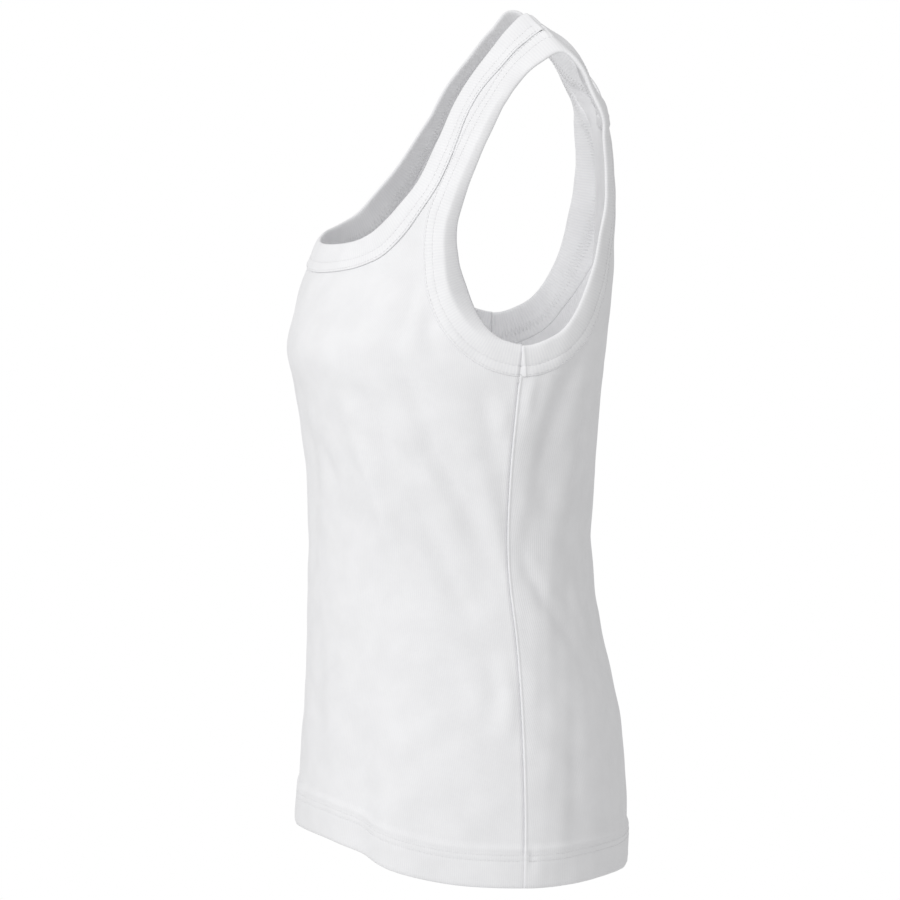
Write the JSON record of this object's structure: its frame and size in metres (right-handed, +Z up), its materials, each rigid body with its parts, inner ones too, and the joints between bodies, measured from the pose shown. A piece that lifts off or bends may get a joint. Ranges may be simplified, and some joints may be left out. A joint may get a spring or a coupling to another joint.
{
  "type": "tank top",
  "caption": "Sleeveless rib-knit top with a scooped neckline and wide folded bindings round the neck and armholes, holding its worn shape.",
  "frame": {"origin": "midway between the two straps, level with the highest point of the smooth cloth on the shoulders, where the wearer holds it up", "axes": "+X to the wearer's left, -Y to the wearer's front, +Z up"},
  "size_m": [0.3376, 0.247, 0.6128],
  "materials": {
    "front": "matt white cotton rib knit, fine ribs running up and down",
    "back": "matt white cotton rib knit, fine ribs running up and down",
    "neck_band": "matt white rib binding, ribs running across the band, cover-stitched",
    "armhole_band_left": "matt white rib binding, ribs running across the band, cover-stitched",
    "armhole_band_right": "matt white rib binding, ribs running across the band, cover-stitched"
  },
  "bodies": {
    "root": {"front": "front", "back": "back", "neck_band": "neck_band", "armhole_band_left": "armhole_band_left", "armhole_band_right": "armhole_band_right"}
  },
  "joints": []
}
